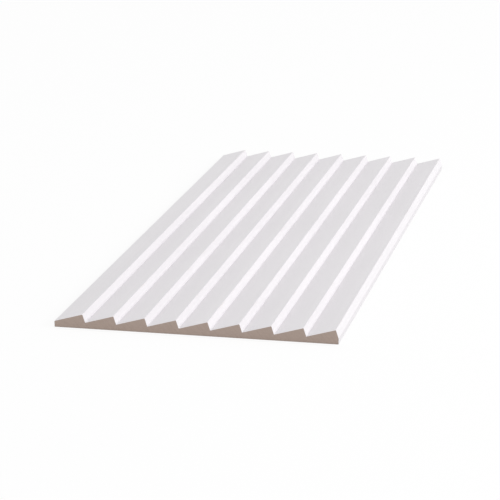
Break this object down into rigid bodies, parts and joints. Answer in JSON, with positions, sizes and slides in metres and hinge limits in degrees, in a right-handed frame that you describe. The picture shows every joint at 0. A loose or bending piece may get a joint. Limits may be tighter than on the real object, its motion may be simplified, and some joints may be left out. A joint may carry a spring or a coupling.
{
  "type": "wall panel",
  "caption": "Flat-backed fibreboard wall panel, primed white, whose face is a row of raked saw-tooth flutes running its whole length; it is glued to a wall side by side with others.",
  "frame": {"origin": "middle of the flat back, which lies on the floor or against the wall", "axes": "+X across the teeth, from the long edge where a broad side starts to the one where a steep side ends; +Y along the ridges; +Z out of the back, towards the room"},
  "size_m": [0.24, 0.6, 0.012],
  "materials": {
    "primed_fibreboard": "matt white primer on the face and the long edges; bare grey-brown fibreboard on the two sawn ends and the sanded back"
  },
  "bodies": {
    "root": {"wall_panel": "primed_fibreboard"}
  },
  "joints": []
}
